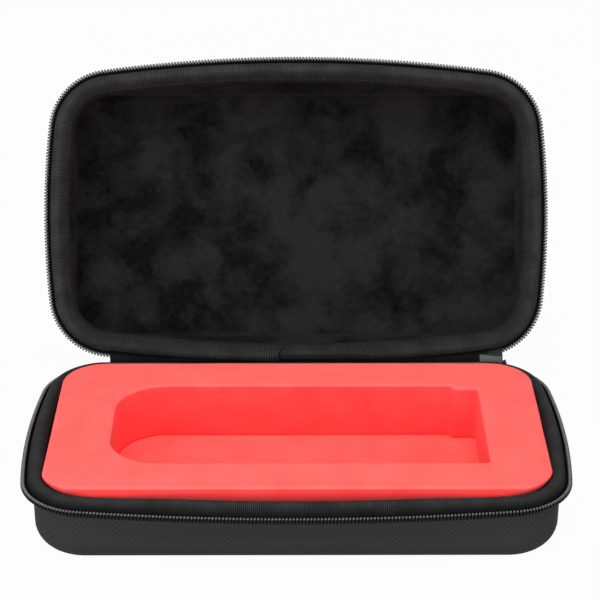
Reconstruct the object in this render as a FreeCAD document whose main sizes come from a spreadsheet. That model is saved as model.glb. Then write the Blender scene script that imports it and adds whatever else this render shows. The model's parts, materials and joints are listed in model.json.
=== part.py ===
"""Zip-round carrying case: a moulded base with a foam bed, and a lined lid on a fabric hinge. Millimetres.

The origin is the middle of the base's underside. X runs along the case, -Y is its front and +Z is up.
Each half is drawn as a dish below its own parting plane, z = 0, with the hinge towards +Y.
The base is lifted to its height. The lid is such a dish too, turned over and swung open on the hinge.
"""
import FreeCAD
import Part
import Sketcher
import math
import os
from types import SimpleNamespace

SIZES = [
    ("case_width", 271.5, "side to side, over the zip coil"),
    ("case_depth", 168.1, "front to back, over the zip coil"),
    ("case_corner", 33.8, "radius of the rim's corners, over the zip coil"),
    ("long_side_bow", 789, "radius of the rim's bowed front and back"),
    ("short_side_bow", 435, "radius of the rim's bowed ends"),
    ("base_height", 34.5, "underside to the parting plane"),
    ("lid_height", 38, "parting plane to the lid's top"),
    ("lid_opening_degrees", 114.4, "turn of the lid from closed to its open stop"),
    ("zip_overhang", 5.4, "how far the zip stands out from the rim's wall"),
    ("tub_end_inset", 8.4, "zip coil to the straight wall below the rim, at the ends"),
    ("tub_front_inset", 11.05, "zip coil to the straight wall below the rim, front and back"),
    ("tub_corner", 28, "radius of the straight wall's corners"),
    ("tub_edge_radius", 12, "rounding between wall and floor, outside"),
    ("ledge_drop", 11.2, "parting plane to the underside of the rim's ledge"),
    ("shell_wall", 6.2, "moulded laminate: outer fabric, foam sheet and plush lining in one"),
    ("parting_gap", 0.3, "clearance between the two closed rims"),
    ("binding_thickness", 1, "woven tape over the shell's cut rim"),
    ("binding_setback", 0.1, "wall's outer face to the tape's outer edge"),
    ("binding_overlap", 1, "how far the tape reaches over the rim's inner edge"),
    ("tape_thickness", 0.7, "zip tape"),
    ("tape_top_drop", 2.9, "parting plane to the zip tape's top edge"),
    ("tape_fold_drop", 7, "parting plane to the part of the zip tape that runs in to the wall"),
    ("coil_depth", 1.8, "zip tape's face to the coil's outer side"),
    ("coil_drop", 2.6, "parting plane to the tips of the unzipped coil"),
    ("tooth_height", 3.2, "one tooth, tip to heel"),
    ("tooth_width", 2.4, "one tooth's foot along the chain"),
    ("tooth_pitch", 3.4, "tooth to tooth along the chain, two coil turns"),
    ("hinge_clearance", 0.2, "wall's outer face to the hinge axis"),
    ("hinge_leaf_gap", 1.9, "fabric hinge strip to the tabs at the zip's ends"),
    ("hinge_leaf_thickness", 1, "fabric hinge strip"),
    ("hinge_leaf_drop", 2.4, "parting plane to the sewn part of the hinge strip"),
    ("end_tab_length", 6, "fabric tab at each end of the zip, along the back"),
    ("end_tab_thickness", 1.6, "folded fabric of an end tab"),
    ("end_tab_drop", 2.4, "parting plane to an end tab's top edge"),
    ("end_tab_gap", 0.4, "end tab to the zip's end"),
    ("foam_end_gap", 1.15, "bound rim to the foam, at the ends"),
    ("foam_front_gap", 6.65, "bound rim to the foam, front and back"),
    ("foam_corner_easing", 4.8, "how much rounder the foam's corners are than the bound rim's"),
    ("foam_front_bow", 5400, "radius of the foam's nearly straight front and back"),
    ("foam_rise", 4.5, "foam's top above the parting plane"),
    ("foam_clearance", 0.3, "foam to the shell"),
    ("foam_edge_cut", 5, "trimmed lower edge of the foam"),
    ("foam_floor_thickness", 3, "foam sheet under the bed"),
    ("bed_length", 186, "bed cut in the foam, side to side"),
    ("bed_width", 81.2, "bed cut in the foam, front to back"),
    ("bed_shift_right", 1, "middle of the bed from the case's middle, sideways"),
    ("bed_shift_front", 0.8, "middle of the bed from the case's middle, to the front"),
    ("bed_end_radius", 25, "corners of the bed's round left end"),
    ("bed_step_length", 13, "narrower right end of the bed, along the case"),
    ("bed_step", 3.6, "how much the back wall steps in at the narrower end"),
    ("slider_length", 8.5, "zip slider along the chain"),
    ("slider_plate", 1.2, "walls of the slider"),
    ("slider_gap", 0.5, "slider to coil and tape, with room for the corner's curve"),
    ("slider_skirt", 1.4, "how far the slider's outer wall reaches below the coil"),
    ("slider_park_gap", 0.4, "parked slider to the zip's end"),
    ("bail_ear", 1, "thickness of the ears that hold the pull's pin"),
    ("bail_height", 3, "ears, top to bottom"),
    ("bail_drop", 1.8, "slider's top to the pull's pin"),
    ("pin_radius", 0.7, "pin through the pull's eye"),
    ("eye_gap", 0.2, "pin to eye, and eye to slider"),
    ("eye_wall", 0.8, "metal round the eye's hole"),
    ("eye_width", 4, "eye along its pin"),
    ("pull_length", 20, "pin to the pull's free end"),
    ("pull_width", 7, "blade of the pull"),
    ("pull_thickness", 1.6, "blade of the pull"),
    ("pull_neck", 3.6, "pin to where the blade widens"),
    ("pull_corner", 1.6, "cut of the blade's free corners"),
]


class Size:
    """A length with its number and the sheet formula that it comes from."""

    def __init__(self, number, formula):
        self.number = number
        self.formula = formula

    def __add__(self, other):
        return Size(self.number + other.number, f"({self.formula} + {other.formula})")

    def __sub__(self, other):
        return Size(self.number - other.number, f"({self.formula} - {other.formula})")

    def __mul__(self, count):
        return Size(self.number * count, f"({self.formula} * {count})")

    def __truediv__(self, count):
        return Size(self.number / count, f"({self.formula} / {count})")

    def __neg__(self):
        return Size(-self.number, f"(-{self.formula})")


# Sheet of driving sizes

doc = FreeCAD.newDocument("carrying_case")
sheet = doc.addObject("Spreadsheet::Sheet", "Sizes")
dim = SimpleNamespace()
for row, (alias, value, meaning) in enumerate(SIZES, start=1):
    sheet.set(f"A{row}", alias)
    sheet.set(f"B{row}", str(value))
    sheet.set(f"C{row}", meaning)
    sheet.setAlias(f"B{row}", alias)
    setattr(dim, alias, Size(value, f"Sizes.{alias}"))
doc.recompute()

ZERO = Size(0, "0")
RIM = SimpleNamespace(width=dim.case_width, depth=dim.case_depth, corner=dim.case_corner,
                      long_bow=dim.long_side_bow, short_bow=dim.short_side_bow)
RIM_TOP = dim.parting_gap / 2 + dim.binding_thickness
BOUND_INSET = dim.zip_overhang + dim.shell_wall + dim.binding_overlap
TUB_WIDTH = dim.case_width - dim.tub_end_inset * 2
TUB_DEPTH = dim.case_depth - dim.tub_front_inset * 2
HINGE_Y = dim.case_depth / 2 - dim.zip_overhang + dim.hinge_clearance
FOAM = SimpleNamespace(width=dim.case_width - (BOUND_INSET + dim.foam_end_gap) * 2,
                       depth=dim.case_depth - (BOUND_INSET + dim.foam_front_gap) * 2,
                       corner=dim.case_corner - BOUND_INSET + dim.foam_corner_easing,
                       long_bow=dim.foam_front_bow,
                       short_bow=dim.short_side_bow - BOUND_INSET - dim.foam_end_gap)
FIRST_FLAT_SHARE = 2 - math.sqrt(2)
NEXT_FLAT_SHARE = math.sqrt(2) - 1 - math.tan(math.pi / 16)
SAME_PLACE = 1e-4
START, END, CENTRE = range(1, 4)
Y_AXIS, X_AXIS = range(-2, 0)
UP = FreeCAD.Vector(0, 0, 1)
RIGHT, BACK_RIGHT, BACK, BACK_LEFT, LEFT, FRONT_LEFT, FRONT, FRONT_RIGHT = range(8)
pieces = []


# Sketches

def sketch_on(body, name, plane, lift):
    """Sketch on one of the body's own origin planes, moved off it by lift."""
    sketch = body.newObject("Sketcher::SketchObject", f"{body.Name}_{name}")
    origin = next(item for item in body.Origin.OriginFeatures if item.Role == plane)
    sketch.AttachmentSupport = (origin, [""])
    sketch.MapMode = "FlatFace"
    sketch.setExpression("AttachmentOffset.Base.z", lift.formula)
    return sketch


def bind(sketch, size, kind, *places):
    """Constraint whose value is a formula on the sheet."""
    index = sketch.addConstraint(Sketcher.Constraint(kind, *places, size.number))
    sketch.setExpression(f"Constraints[{index}]", size.formula)


def place_point(sketch, geometry, point, x, y):
    """Ties a point to its distances from the sketch's origin."""
    bind(sketch, x, "DistanceX", -1, START, geometry, point)
    bind(sketch, y, "DistanceY", -1, START, geometry, point)


def outline_arcs(form, inset):
    """The rim's line as eight arcs that touch end to end, anticlockwise from the right end's middle.

    Each arc is its centre, its radius and its first and last angle. All insets share the same centres.
    """
    long_middle = FreeCAD.Vector(0, form.depth.number / 2 - form.long_bow.number, 0)
    short_middle = FreeCAD.Vector(form.width.number / 2 - form.short_bow.number, 0, 0)
    from_long = form.long_bow.number - form.corner.number
    from_short = form.short_bow.number - form.corner.number
    span = short_middle - long_middle
    along = (from_long**2 - from_short**2 + span.Length**2) / (2 * span.Length)
    aside = math.sqrt(from_long**2 - along**2)
    unit = span / span.Length
    corner = long_middle + unit * along + FreeCAD.Vector(unit.y, -unit.x, 0) * aside
    end_turn = math.atan2(corner.y, corner.x - short_middle.x)
    front_turn = math.atan2(corner.x, corner.y - long_middle.y)
    quarter = math.pi / 2
    arcs = []
    for half_turn, side in ((0, 1), (2 * quarter, -1)):
        arcs += [
            (short_middle * side, form.short_bow - inset, half_turn - end_turn, half_turn + end_turn),
            (corner * side, form.corner - inset, half_turn + end_turn, half_turn + quarter - front_turn),
            (long_middle * side, form.long_bow - inset,
             half_turn + quarter - front_turn, half_turn + quarter + front_turn),
            (FreeCAD.Vector(-corner.x, corner.y, 0) * side, form.corner - inset,
             half_turn + quarter + front_turn, half_turn + 2 * quarter - end_turn),
        ]
    return arcs


def add_outline(sketch, form, inset, open_back=False):
    """Draws the rim's line in a sketch, moved inwards. With an open back, the back arc only guides."""
    drawn = []
    for index, (centre, radius, first, last) in enumerate(outline_arcs(form, inset)):
        circle = Part.Circle(centre, UP, radius.number)
        guide = open_back and index == BACK
        drawn.append(sketch.addGeometry(Part.ArcOfCircle(circle, first, last), guide))
        bind(sketch, radius, "Radius", drawn[-1])
    for index, arc in enumerate(drawn):
        following = drawn[(index + 1) % len(drawn)]
        sketch.addConstraint(Sketcher.Constraint("Tangent", arc, END, following, START))
    sketch.addConstraint(Sketcher.Constraint("PointOnObject", drawn[LEFT], CENTRE, X_AXIS))
    sketch.addConstraint(Sketcher.Constraint("PointOnObject", drawn[FRONT], CENTRE, Y_AXIS))
    bind(sketch, form.short_bow - form.width / 2, "DistanceX", -1, START, drawn[LEFT], CENTRE)
    bind(sketch, form.long_bow - form.depth / 2, "DistanceY", -1, START, drawn[FRONT], CENTRE)
    for near, far in ((LEFT, RIGHT), (FRONT, BACK)):
        sketch.addConstraint(
            Sketcher.Constraint("Symmetric", drawn[near], CENTRE, drawn[far], CENTRE, -1, START))
    return drawn


def add_ring(sketch, outer_inset, inner_inset, open_back=False):
    """Band between two insets of the rim's line. With an open back it ends where the zip ends."""
    outer = add_outline(sketch, RIM, outer_inset, open_back)
    inner = add_outline(sketch, RIM, inner_inset, open_back)
    if not open_back:
        return
    for corner, point in ((BACK_RIGHT, END), (BACK_LEFT, START)):
        ends = [outline_point(inset, corner, point) for inset in (outer_inset, inner_inset)]
        closing = sketch.addGeometry(Part.LineSegment(*ends), False)
        sketch.addConstraint(Sketcher.Constraint("Coincident", closing, START, outer[corner], point))
        sketch.addConstraint(Sketcher.Constraint("Coincident", closing, END, inner[corner], point))


def outline_point(inset, corner, point):
    """First or last point of one of the rim line's arcs."""
    centre, radius, first, last = outline_arcs(RIM, inset)[corner]
    return on_circle(centre, radius.number, first if point == START else last)


def on_circle(centre, radius, angle):
    return centre + FreeCAD.Vector(math.cos(angle), math.sin(angle), 0) * radius


def add_rounded_rectangle(sketch, width, depth, corner):
    """Four straight sides joined by round corners, centred on the origin."""
    half_x, half_y, radius = width.number / 2, depth.number / 2, corner.number
    sides = []
    rounds = []
    for turn in range(4):
        along, out = (half_y, half_x) if turn % 2 == 0 else (half_x, half_y)
        spin = FreeCAD.Rotation(UP, 90 * turn)
        line = Part.LineSegment(spin.multVec(FreeCAD.Vector(out, radius - along, 0)),
                                spin.multVec(FreeCAD.Vector(out, along - radius, 0)))
        sides.append(sketch.addGeometry(line, False))
        circle = Part.Circle(spin.multVec(FreeCAD.Vector(out - radius, along - radius, 0)), UP, radius)
        angle = turn * math.pi / 2
        rounds.append(sketch.addGeometry(Part.ArcOfCircle(circle, angle, angle + math.pi / 2), False))
    for turn in range(4):
        upright = "Vertical" if turn % 2 == 0 else "Horizontal"
        sketch.addConstraint(Sketcher.Constraint(upright, sides[turn]))
        sketch.addConstraint(Sketcher.Constraint("Tangent", sides[turn], END, rounds[turn], START))
        following = sides[(turn + 1) % 4]
        sketch.addConstraint(Sketcher.Constraint("Tangent", rounds[turn], END, following, START))
        bind(sketch, corner, "Radius", rounds[turn])
    for turn, direction, reach in ((0, "DistanceX", width / 2), (2, "DistanceX", -width / 2),
                                   (1, "DistanceY", depth / 2), (3, "DistanceY", -depth / 2)):
        bind(sketch, reach, direction, -1, START, sides[turn], START)


def add_polygon(sketch, corners):
    """Closed run of straight lines through corners, each given by its two sizes."""
    points = [FreeCAD.Vector(x.number, y.number, 0) for x, y in corners]
    lines = []
    for index, point in enumerate(points):
        following = points[(index + 1) % len(points)]
        lines.append(sketch.addGeometry(Part.LineSegment(point, following), False))
    for index, line in enumerate(lines):
        following = lines[(index + 1) % len(lines)]
        sketch.addConstraint(Sketcher.Constraint("Coincident", line, END, following, START))
        place_point(sketch, line, START, *corners[index])


def add_circle(sketch, radius):
    """Circle on the sketch's origin."""
    drawn = sketch.addGeometry(Part.Circle(FreeCAD.Vector(), UP, radius.number), False)
    sketch.addConstraint(Sketcher.Constraint("Coincident", drawn, CENTRE, -1, START))
    bind(sketch, radius, "Radius", drawn)


# Solid features

def new_body(label):
    return doc.addObject("PartDesign::Body", label)


def extrude(body, kind, sketch, length, both_ways=False):
    """Pad or pocket of a sketch, to one side of it or evenly to both."""
    solid = body.newObject(f"PartDesign::{kind}", f"{sketch.Name}_{kind}")
    solid.Profile = sketch
    solid.setExpression("Length", length.formula)
    if both_ways:
        solid.SideType = "Symmetric"
    sketch.Visibility = False
    return solid


def chamfer(body, size, chosen):
    """Cuts the edges of the body's last feature that the test picks."""
    doc.recompute()
    last = body.Tip
    names = [f"Edge{number}" for number, edge in enumerate(last.Shape.Edges, start=1) if chosen(edge)]
    cut = body.newObject("PartDesign::Chamfer", f"{last.Name}_cut")
    cut.Base = (last, names)
    cut.setExpression("Size", size.formula)


def at_levels(*levels):
    """Test that picks the edges lying in any of the planes z = level."""
    def chosen(edge):
        box = edge.BoundBox
        return any(abs(box.ZMin - level.number) < SAME_PLACE and abs(box.ZMax - level.number) < SAME_PLACE
                   for level in levels)
    return chosen


def round_floor(body, floor, radius):
    """Rounds the edge between wall and floor with three flats that touch an arc of the radius."""
    first = radius * FIRST_FLAT_SHARE
    chamfer(body, first, at_levels(floor))
    chamfer(body, radius * NEXT_FLAT_SHARE, at_levels(floor, floor + first))


def put_in_base(piece):
    """Lifts a piece drawn below the parting plane to the base's height."""
    piece.setExpression("Placement.Base.z", dim.base_height.formula)


def put_in_lid(piece):
    """Turns a piece drawn below the parting plane over onto the base, then swings it open on the hinge."""
    turn = dim.lid_opening_degrees.formula
    back = f"{HINGE_Y.formula} * (1 - cos({turn}))"
    up = f"{dim.base_height.formula} + {HINGE_Y.formula} * sin({turn})"
    axis = f"vector(0; cos({turn} / 2); -sin({turn} / 2))"
    piece.setExpression("Placement", f"placement(vector(0; {back}; {up}); rotation({axis}; 180))")


def finish(piece, label, put_in_place):
    """Names a sub-part, places it and lists it for writing."""
    piece.Label = label
    put_in_place(piece)
    pieces.append(piece)


# Shells

def dish(name, height, skin):
    """Solid form of one half, moved inwards by skin: a straight-sided tub under a bowed rim band."""
    body = new_body(name)
    floor = skin - height
    tub = sketch_on(body, "tub", "XY_Plane", floor)
    add_rounded_rectangle(tub, TUB_WIDTH - skin * 2, TUB_DEPTH - skin * 2, dim.tub_corner - skin)
    extrude(body, "Pad", tub, height - dim.ledge_drop)
    round_floor(body, floor, dim.tub_edge_radius - skin)
    band = sketch_on(body, "band", "XY_Plane", skin - dim.ledge_drop)
    add_outline(band, RIM, dim.zip_overhang + skin)
    extrude(body, "Pad", band, dim.ledge_drop - skin - RIM_TOP)
    return body


def shell(half, height, put_in_place):
    """Moulded shell of one half: an even sheet, open at the parting plane."""
    moulding = doc.addObject("Part::Cut", f"{half}_shell")
    moulding.Base = dish(f"{half}_outer_form", height, ZERO)
    moulding.Tool = dish(f"{half}_inner_form", height, dim.shell_wall)
    finish(moulding, f"{half}_shell", put_in_place)


# Rim binding and zip

def binding(half, put_in_place):
    """Woven tape that covers the shell's cut rim."""
    body = new_body(f"{half}_binding")
    cap = sketch_on(body, "cap", "XY_Plane", -RIM_TOP)
    add_ring(cap, dim.zip_overhang + dim.binding_setback, BOUND_INSET)
    extrude(body, "Pad", cap, dim.binding_thickness)
    finish(body, f"{half}_binding", put_in_place)


def zip_tape(half, put_in_place):
    """Zip tape: sewn to the wall along its inner edge, and turned up behind the coil."""
    body = new_body(f"{half}_zip_tape")
    face = dim.coil_depth
    fold = sketch_on(body, "fold", "XY_Plane", -dim.tape_fold_drop - dim.tape_thickness)
    add_ring(fold, face, dim.zip_overhang, open_back=True)
    extrude(body, "Pad", fold, dim.tape_thickness)
    edge = sketch_on(body, "edge", "XY_Plane", -dim.tape_fold_drop)
    add_ring(edge, face, face + dim.tape_thickness, open_back=True)
    extrude(body, "Pad", edge, dim.tape_fold_drop - dim.tape_top_drop)
    finish(body, f"{half}_zip_tape", put_in_place)


def chain_places(inset, first, pitch):
    """Points and outward angles at an even pitch along the zip, from the back right end round the front."""
    route = [outline_arcs(RIM, inset)[index]
             for index in (BACK_RIGHT, RIGHT, FRONT_RIGHT, FRONT, FRONT_LEFT, LEFT, BACK_LEFT)]
    places = []
    ahead = first
    for centre, radius, low, high in route:
        length = radius.number * (high - low)
        while ahead < length:
            angle = high - ahead / radius.number
            places.append((on_circle(centre, radius.number, angle), angle))
            ahead += pitch
        ahead -= length
    return places


def zip_teeth(half, first, put_in_place):
    """Teeth of one side of the zip: upright ridges, each seated on the face of the tape."""
    foot = dim.tooth_width.number / 2
    heel = -dim.coil_drop.number - dim.tooth_height.number
    corners = [FreeCAD.Vector(0, -foot, heel), FreeCAD.Vector(dim.coil_depth.number, 0, heel),
               FreeCAD.Vector(0, foot, heel)]
    ridge = Part.Face(Part.makePolygon(corners + corners[:1])).extrude(UP * dim.tooth_height.number)
    teeth = []
    for point, angle in chain_places(dim.coil_depth, first.number, dim.tooth_pitch.number):
        tooth = ridge.copy()
        tooth.Placement = FreeCAD.Placement(point, FreeCAD.Rotation(UP, math.degrees(angle)))
        teeth.append(tooth)
    group = doc.addObject("Part::Feature", f"{half}_zip_teeth")
    group.Shape = Part.makeCompound(teeth)
    finish(group, f"{half}_zip_teeth", put_in_place)


# Fabric hinge and zip ends

def back_strip(body, name, low, high, outer_inset, inner_inset, first, last):
    """Strip that follows the back's bow between two distances from the middle, and stands on z = low."""
    sketch = sketch_on(body, name, "XY_Plane", low)
    centre_drop = dim.long_side_bow - dim.case_depth / 2
    centre = FreeCAD.Vector(0, -centre_drop.number, 0)
    arcs = []
    for inset in (outer_inset, inner_inset):
        radius = dim.long_side_bow - inset
        angles = [math.acos(reach.number / radius.number) for reach in (last, first)]
        circle = Part.Circle(centre, UP, radius.number)
        arc = sketch.addGeometry(Part.ArcOfCircle(circle, *angles), False)
        bind(sketch, radius, "Radius", arc)
        sketch.addConstraint(Sketcher.Constraint("PointOnObject", arc, CENTRE, Y_AXIS))
        bind(sketch, -centre_drop, "DistanceY", -1, START, arc, CENTRE)
        bind(sketch, last, "DistanceX", -1, START, arc, START)
        bind(sketch, first, "DistanceX", -1, START, arc, END)
        arcs.append((arc, radius.number, angles))
    for point in (START, END):
        ends = [on_circle(centre, radius, angles[point - 1]) for _, radius, angles in arcs]
        closing = sketch.addGeometry(Part.LineSegment(*ends), False)
        sketch.addConstraint(Sketcher.Constraint("Coincident", closing, START, arcs[0][0], point))
        sketch.addConstraint(Sketcher.Constraint("Coincident", closing, END, arcs[1][0], point))
    extrude(body, "Pad", sketch, high - low)


def tab_span():
    """Near and far end of the tab beside the zip's right end, from the middle of the back."""
    zip_end = outline_point(dim.zip_overhang, BACK_RIGHT, END).x
    far = Size(zip_end, str(zip_end)) - dim.end_tab_gap
    return far - dim.end_tab_length, far


def hinge_leaf(half, put_in_place):
    """Half of the fabric hinge strip, sewn to the outside of the back wall."""
    body = new_body(f"{half}_hinge_leaf")
    outer = dim.zip_overhang - dim.hinge_leaf_thickness
    reach = tab_span()[0] - dim.hinge_leaf_gap
    levels = (-dim.ledge_drop, -dim.hinge_leaf_drop)
    back_strip(body, "strip", *levels, outer, dim.zip_overhang, -reach, reach)
    finish(body, f"{half}_hinge_leaf", put_in_place)


def end_tab(half, side, facing, put_in_place):
    """Fabric tab folded over the wall beside the zip's end, right (+1) or left (-1) in its own half."""
    label = f"{half}_{side}_end_tab"
    body = new_body(label)
    wall = dim.zip_overhang
    near, far = tab_span()
    ends = (near, far) if facing > 0 else (-far, -near)
    levels = (-dim.ledge_drop, -dim.end_tab_drop)
    back_strip(body, "tab", *levels, wall - dim.end_tab_thickness, wall, *ends)
    finish(body, label, put_in_place)


# Foam bed

def add_bed(sketch):
    """Bed's outline: round left end, square right end, and a step in the back wall near the right end."""
    right = dim.bed_shift_right + dim.bed_length / 2
    left = dim.bed_shift_right - dim.bed_length / 2
    back = dim.bed_width / 2 - dim.bed_shift_front
    front = -dim.bed_width / 2 - dim.bed_shift_front
    step_x = right - dim.bed_step_length
    step_y = back - dim.bed_step
    radius = dim.bed_end_radius
    round_x = left + radius
    straight_run = [(round_x, front), (right, front), (right, step_y), (step_x, step_y), (step_x, back),
                    (round_x, back)]
    left_run = [(left, back - radius), (left, front + radius)]
    lines = []
    for run in (straight_run, left_run):
        points = [FreeCAD.Vector(x.number, y.number, 0) for x, y in run]
        for near, far in zip(points, points[1:]):
            lines.append(sketch.addGeometry(Part.LineSegment(near, far), False))
            upright = "Vertical" if abs(near.x - far.x) < SAME_PLACE else "Horizontal"
            sketch.addConstraint(Sketcher.Constraint(upright, lines[-1]))
    rounds = []
    for centre_y, first in ((back - radius, math.pi / 2), (front + radius, math.pi)):
        circle = Part.Circle(FreeCAD.Vector(round_x.number, centre_y.number, 0), UP, radius.number)
        rounds.append(sketch.addGeometry(Part.ArcOfCircle(circle, first, first + math.pi / 2), False))
        bind(sketch, radius, "Radius", rounds[-1])
    front_line, _, _, step_line, back_line, left_line = lines
    for near, far in zip(lines[:4], lines[1:5]):
        sketch.addConstraint(Sketcher.Constraint("Coincident", near, END, far, START))
    for near, far in ((back_line, rounds[0]), (rounds[0], left_line),
                      (left_line, rounds[1]), (rounds[1], front_line)):
        sketch.addConstraint(Sketcher.Constraint("Tangent", near, END, far, START))
    place_point(sketch, front_line, END, right, front)
    place_point(sketch, step_line, START, step_x, step_y)
    bind(sketch, back, "DistanceY", -1, START, back_line, START)
    bind(sketch, left, "DistanceX", -1, START, left_line, START)


def foam_insert():
    """Sponge block that fills the base and stands a little above the rim, with the bed cut through it."""
    body = new_body("foam_insert")
    bottom = dim.shell_wall + dim.foam_floor_thickness - dim.base_height
    shoulder = dim.shell_wall + dim.foam_clearance - dim.ledge_drop
    block = sketch_on(body, "block", "XY_Plane", bottom)
    width = TUB_WIDTH - (dim.shell_wall + dim.foam_clearance) * 2
    add_rounded_rectangle(block, width, FOAM.depth, dim.tub_corner - dim.shell_wall)
    extrude(body, "Pad", block, shoulder - bottom)
    chamfer(body, dim.foam_edge_cut, at_levels(bottom))
    slab = sketch_on(body, "slab", "XY_Plane", shoulder)
    add_outline(slab, FOAM, ZERO)
    extrude(body, "Pad", slab, dim.foam_rise - shoulder)
    bed = sketch_on(body, "bed", "XY_Plane", dim.foam_rise)
    add_bed(bed)
    extrude(body, "Pocket", bed, dim.foam_rise - bottom)
    finish(body, "foam_insert", put_in_base)


def foam_floor():
    """Sponge sheet on the flat of the base's floor, under the bed."""
    body = new_body("foam_floor")
    margin = (dim.tub_edge_radius + dim.foam_clearance) * 2
    corner = dim.tub_corner - dim.tub_edge_radius
    flat = sketch_on(body, "flat", "XY_Plane", dim.shell_wall - dim.base_height)
    add_rounded_rectangle(flat, TUB_WIDTH - margin, TUB_DEPTH - margin, corner)
    extrude(body, "Pad", flat, dim.foam_floor_thickness)
    finish(body, "foam_floor", put_in_base)


# Zip slider and pull, drawn with X outwards from the coil's outer side and Y along the chain

SLIDER_TOP = -(dim.coil_drop - dim.slider_gap - dim.slider_plate)
SLIDER_FACE = dim.slider_gap + dim.slider_plate
EYE_RADIUS = dim.pin_radius + dim.eye_gap + dim.eye_wall
PIN_OUT = SLIDER_FACE + dim.eye_gap + EYE_RADIUS
PIN_LEVEL = SLIDER_TOP - dim.bail_drop
PULL_SLOT = dim.eye_width + dim.eye_gap * 2


def slider_place():
    """Parked at the zip's right back end, on the corner's arc."""
    centre, radius, _, last = outline_arcs(RIM, ZERO)[BACK_RIGHT]
    parked = (dim.slider_length / 2 + dim.slider_park_gap).number
    angle = last - parked / (radius.number - dim.coil_depth.number)
    point = on_circle(centre, radius.number, angle)
    return FreeCAD.Placement(FreeCAD.Vector(point.x, point.y, dim.base_height.number),
                             FreeCAD.Rotation(UP, math.degrees(angle)))


def slider(label):
    """Slider: a channel over the coil, with two ears and a pin on its outer face."""
    body = new_body(label)
    roof = -(dim.coil_drop - dim.slider_gap)
    inner = -(dim.coil_depth + dim.tape_thickness + dim.slider_gap)
    skirt = -(dim.coil_drop + dim.tooth_height + dim.slider_skirt)
    short_skirt = -(dim.tape_fold_drop - dim.slider_gap)
    channel = sketch_on(body, "channel", "XZ_Plane", ZERO)
    add_polygon(channel, [
        (SLIDER_FACE, skirt), (SLIDER_FACE, SLIDER_TOP),
        (inner - dim.slider_plate, SLIDER_TOP), (inner - dim.slider_plate, short_skirt),
        (inner, short_skirt), (inner, roof), (dim.slider_gap, roof), (dim.slider_gap, skirt)])
    extrude(body, "Pad", channel, dim.slider_length, both_ways=True)
    ears = sketch_on(body, "ears", "XZ_Plane", ZERO)
    tip = PIN_OUT + dim.pin_radius + dim.eye_wall
    top, low = PIN_LEVEL + dim.bail_height / 2, PIN_LEVEL - dim.bail_height / 2
    add_polygon(ears, [(dim.slider_gap, low), (tip, low), (tip, top), (dim.slider_gap, top)])
    extrude(body, "Pad", ears, PULL_SLOT + dim.bail_ear * 2, both_ways=True)
    slot = sketch_on(body, "slot", "XZ_Plane", ZERO)
    past = tip + dim.eye_gap
    add_polygon(slot, [(SLIDER_FACE, low - dim.eye_gap), (past, low - dim.eye_gap),
                       (past, top + dim.eye_gap), (SLIDER_FACE, top + dim.eye_gap)])
    extrude(body, "Pocket", slot, PULL_SLOT, both_ways=True)
    pin = sketch_on(body, "pin", "XZ_Plane", ZERO)
    pin.setExpression("AttachmentOffset.Base.x", PIN_OUT.formula)
    pin.setExpression("AttachmentOffset.Base.y", PIN_LEVEL.formula)
    add_circle(pin, dim.pin_radius)
    extrude(body, "Pad", pin, PULL_SLOT + dim.bail_ear, both_ways=True)
    body.Label = label
    body.Placement = slider_place()
    pieces.append(body)


def pull(label):
    """Pull: an eye on the slider's pin, and a flat blade that hangs from it."""
    body = new_body(label)
    eye = sketch_on(body, "eye", "XZ_Plane", ZERO)
    add_circle(eye, EYE_RADIUS)
    add_circle(eye, dim.pin_radius + dim.eye_gap)
    extrude(body, "Pad", eye, dim.eye_width, both_ways=True)
    root = -(dim.pin_radius + dim.eye_gap * 2)
    narrow, wide = dim.eye_width / 2, dim.pull_width / 2
    shoulder = -dim.pull_neck - (wide - narrow)
    blade = sketch_on(body, "blade", "YZ_Plane", ZERO)
    free_end = -dim.pull_length
    trimmed = free_end + dim.pull_corner
    right_side = [(narrow, root), (narrow, -dim.pull_neck), (wide, shoulder), (wide, trimmed),
                  (wide - dim.pull_corner, free_end)]
    left_side = [(-across, level) for across, level in reversed(right_side)]
    add_polygon(blade, right_side + left_side)
    extrude(body, "Pad", blade, dim.pull_thickness, both_ways=True)
    body.Label = label
    pin = FreeCAD.Placement(FreeCAD.Vector(PIN_OUT.number, 0, PIN_LEVEL.number), FreeCAD.Rotation())
    body.Placement = slider_place().multiply(pin)
    pieces.append(body)


# The case, put together

for half, height, first_tooth, put_in_place in (
        ("base", dim.base_height, dim.tooth_pitch / 2, put_in_base),
        ("lid", dim.lid_height, dim.tooth_pitch, put_in_lid)):
    shell(half, height, put_in_place)
    binding(half, put_in_place)
    zip_tape(half, put_in_place)
    zip_teeth(half, first_tooth, put_in_place)
    hinge_leaf(half, put_in_place)
    seen_from_front = 1 if half == "base" else -1
    end_tab(half, "right", seen_from_front, put_in_place)
    end_tab(half, "left", -seen_from_front, put_in_place)
foam_floor()
foam_insert()
slider("zip_slider")
pull("zip_pull")

# Checks, and one file for each sub-part

doc.recompute()
for item in doc.Objects:
    if "Invalid" in item.State or "Error" in item.State:
        raise RuntimeError(f"{item.Label} failed: {item.State}")
for piece in pieces:
    if piece.Shape.isNull() or not piece.Shape.isValid() or not piece.Shape.Solids:
        raise RuntimeError(f"{piece.Label} has no valid solid")
os.makedirs("parts", exist_ok=True)
for piece in pieces:
    piece.Shape.exportStep(f"parts/{piece.Label}.step")
    print(piece.Label, len(piece.Shape.Solids), "solids", round(piece.Shape.Volume / 1000, 2), "cm3")
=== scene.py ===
import bmesh
import bpy
import json
import math
import numpy as np
from mathutils import Matrix, Vector, noise
from mathutils.bvhtree import BVHTree


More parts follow.
